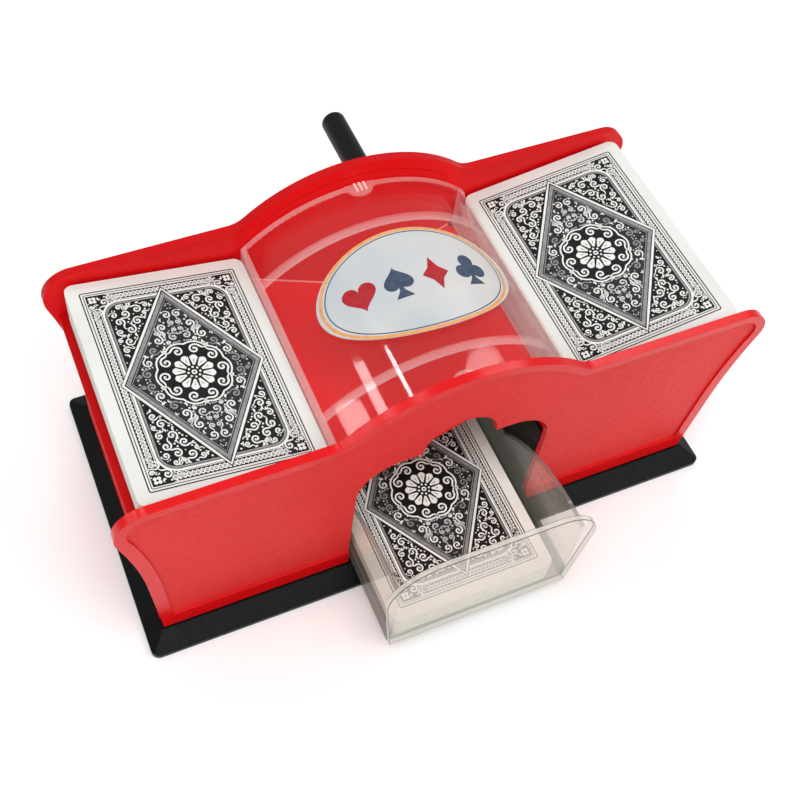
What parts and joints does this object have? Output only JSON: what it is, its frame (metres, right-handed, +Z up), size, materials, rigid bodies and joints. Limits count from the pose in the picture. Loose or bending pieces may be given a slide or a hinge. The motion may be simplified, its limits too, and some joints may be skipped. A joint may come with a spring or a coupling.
{
  "type": "hand-cranked card shuffler",
  "caption": "Tabletop playing card shuffler with sloping card trays, clear arched cover, rear hand crank, geared rubber rollers and a pull-out collecting drawer.",
  "frame": {"origin": "centre of the plinth's flat underside, which rests on the table", "axes": "+Z up; X along the length from the left tray to the right tray; the drawer opens towards -Y and the crank stands on the +Y side"},
  "size_m": [0.2318, 0.1762, 0.1068],
  "materials": {
    "red_gloss_plastic": "glossy moulded plastic",
    "black_gloss_plastic": "glossy moulded plastic",
    "black_satin_plastic": "satin moulded plastic",
    "clear_plastic": "clear polished plastic",
    "smoky_plastic": "smoky translucent plastic",
    "badge_print": "printed gloss film",
    "card_paper": "linen finish coated card",
    "natural_nylon": "natural moulded nylon",
    "steel": "drawn bright steel",
    "brass_bush": "turned brass",
    "black_rubber": "soft black rubber"
  },
  "bodies": {
    "housing": {"base_plinth": "black_gloss_plastic", "base_feet": "black_rubber", "base_screws": "steel", "front_panel": "red_gloss_plastic", "back_panel": "red_gloss_plastic", "left_end_wall": "red_gloss_plastic", "right_end_wall": "red_gloss_plastic", "left_tray_floor": "red_gloss_plastic", "right_tray_floor": "red_gloss_plastic", "left_chamber_wall": "red_gloss_plastic", "right_chamber_wall": "red_gloss_plastic", "chamber_floor": "red_gloss_plastic", "left_card_guide": "red_gloss_plastic", "right_card_guide": "red_gloss_plastic", "card_deflector": "red_gloss_plastic", "drawer_guides": "black_satin_plastic", "rear_bushes": "brass_bush", "front_bushes": "brass_bush", "idler_pins": "steel", "gear_case": "red_gloss_plastic", "case_bush": "brass_bush", "case_screws": "steel"},
    "cover": {"clear_cover": "clear_plastic", "cover_badge": "badge_print"},
    "drawer": {"drawer_tray": "smoky_plastic", "drawer_front": "smoky_plastic"},
    "pile": {"drawer_pile": "card_paper"},
    "left_cards": {"left_deck": "card_paper"},
    "right_cards": {"right_deck": "card_paper"},
    "crank": {"crank_shaft": "steel", "crank_arm": "black_satin_plastic", "arm_screw": "steel", "grip_pin": "steel", "crank_gear": "natural_nylon"},
    "grip": {"crank_grip": "black_satin_plastic"},
    "left_roller": {"left_roller_axle": "steel", "left_roller_hub": "black_satin_plastic", "left_roller_tyres": "black_rubber", "left_roller_gear": "natural_nylon"},
    "right_roller": {"right_roller_axle": "steel", "right_roller_hub": "black_satin_plastic", "right_roller_tyres": "black_rubber", "right_roller_gear": "natural_nylon"},
    "left_idler": {"left_idler_gear": "natural_nylon"},
    "right_inner_idler": {"right_inner_idler_gear": "natural_nylon"},
    "right_outer_idler": {"right_outer_idler_gear": "natural_nylon"}
  },
  "joints": [
    {"name": "crank_turn", "type": "hinge", "parent": "housing", "child": "crank", "pos_m": [0, 0, 0.047], "axis": [0, 1, 0], "continuous": true},
    {"name": "grip_spin", "type": "hinge", "parent": "crank", "child": "grip", "pos_m": [0.01053, 0, 0.08143], "axis": [0, 1, 0], "continuous": true},
    {"name": "left_idler_spin", "type": "hinge", "parent": "housing", "child": "left_idler", "pos_m": [-0.03042, 0, 0.04477], "axis": [0, 1, 0], "continuous": true},
    {"name": "left_roller_spin", "type": "hinge", "parent": "housing", "child": "left_roller", "pos_m": [-0.05, 0, 0.05084], "axis": [0, 1, 0], "continuous": true},
    {"name": "right_inner_idler_spin", "type": "hinge", "parent": "housing", "child": "right_inner_idler", "pos_m": [0.02445, 0, 0.0522], "axis": [0, 1, 0], "continuous": true},
    {"name": "right_outer_idler_spin", "type": "hinge", "parent": "housing", "child": "right_outer_idler", "pos_m": [0.0363, 0, 0.04474], "axis": [0, 1, 0], "continuous": true},
    {"name": "right_roller_spin", "type": "hinge", "parent": "housing", "child": "right_roller", "pos_m": [0.05, 0, 0.05084], "axis": [0, 1, 0], "continuous": true},
    {"name": "drawer_slide", "type": "slide", "parent": "housing", "child": "drawer", "axis": [0, -1, 0], "range_m": [-0.0324, 0.05]},
    {"name": "pile_lift", "type": "slide", "parent": "drawer", "child": "pile", "axis": [0, 0, 1], "range_m": [0, 0.02]},
    {"name": "cover_lift", "type": "slide", "parent": "housing", "child": "cover", "axis": [0, 0, 1], "range_m": [0, 0.04]},
    {"name": "left_deck_lift", "type": "slide", "parent": "housing", "child": "left_cards", "axis": [0, 0, 1], "range_m": [0, 0.03]},
    {"name": "right_deck_lift", "type": "slide", "parent": "housing", "child": "right_cards", "axis": [0, 0, 1], "range_m": [0, 0.03]}
  ],
  "couplings": [
    {"joint": "left_idler_spin", "follows": "crank_turn", "ratio": -1.44},
    {"joint": "left_roller_spin", "follows": "crank_turn", "ratio": 2.25},
    {"joint": "right_inner_idler_spin", "follows": "crank_turn", "ratio": -2.5714},
    {"joint": "right_outer_idler_spin", "follows": "crank_turn", "ratio": 2.5714},
    {"joint": "right_roller_spin", "follows": "crank_turn", "ratio": -2.25}
  ]
}
